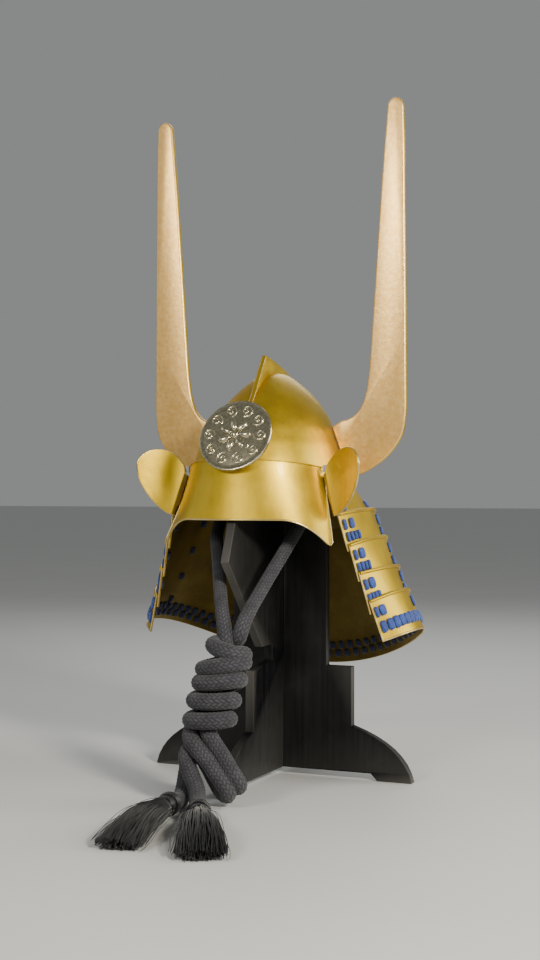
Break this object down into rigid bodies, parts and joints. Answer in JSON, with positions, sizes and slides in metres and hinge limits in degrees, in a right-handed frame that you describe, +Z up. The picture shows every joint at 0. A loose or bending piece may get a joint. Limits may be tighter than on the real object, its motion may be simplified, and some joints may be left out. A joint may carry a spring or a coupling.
{
  "type": "samurai helmet on a stand",
  "caption": "Peach-shaped samurai helmet with tall side horns, a laced flaring neck guard, a round front badge and a knotted chin cord, on a crossed-board stand.",
  "frame": {"origin": "on the stand's upright axis, in the plane of its feet", "axes": "+Z up, -Y the way the helmet faces, +X the viewer's right from the front"},
  "size_m": [0.41, 0.7062, 0.9344],
  "materials": {
    "gold_paint": "satin metallic gold",
    "horn_gold": "satin pale gold",
    "pewter": "polished cast relief",
    "steel": "plain",
    "black_wood": "black stained, satin",
    "charcoal_cord": "braided",
    "black_silk": "loose strands, soft sheen",
    "blue_lacing": "braided flat lace"
  },
  "bodies": {
    "root": {"bowl": "gold_paint", "bowl_keel": "gold_paint", "visor": "gold_paint", "lame_1_with_ears": "gold_paint", "lame_2": "gold_paint", "lame_3": "gold_paint", "lame_4": "gold_paint", "lame_5": "gold_paint", "horn_left": "horn_gold", "horn_right": "horn_gold", "medallion": "pewter", "horn_bracket_left": "steel", "horn_bracket_right": "steel", "ear_clip_left": "steel", "ear_clip_right": "steel", "stand_board_across": "black_wood", "stand_board_along": "black_wood", "cord_left": "charcoal_cord", "cord_right": "charcoal_cord", "cord_inside": "charcoal_cord", "cord_knot": "charcoal_cord", "cord_tail_left": "charcoal_cord", "cord_tail_right": "charcoal_cord", "tassel_collar_left": "black_silk", "tassel_collar_right": "black_silk", "tassel_left": "black_silk", "tassel_right": "black_silk"}
  },
  "joints": []
}
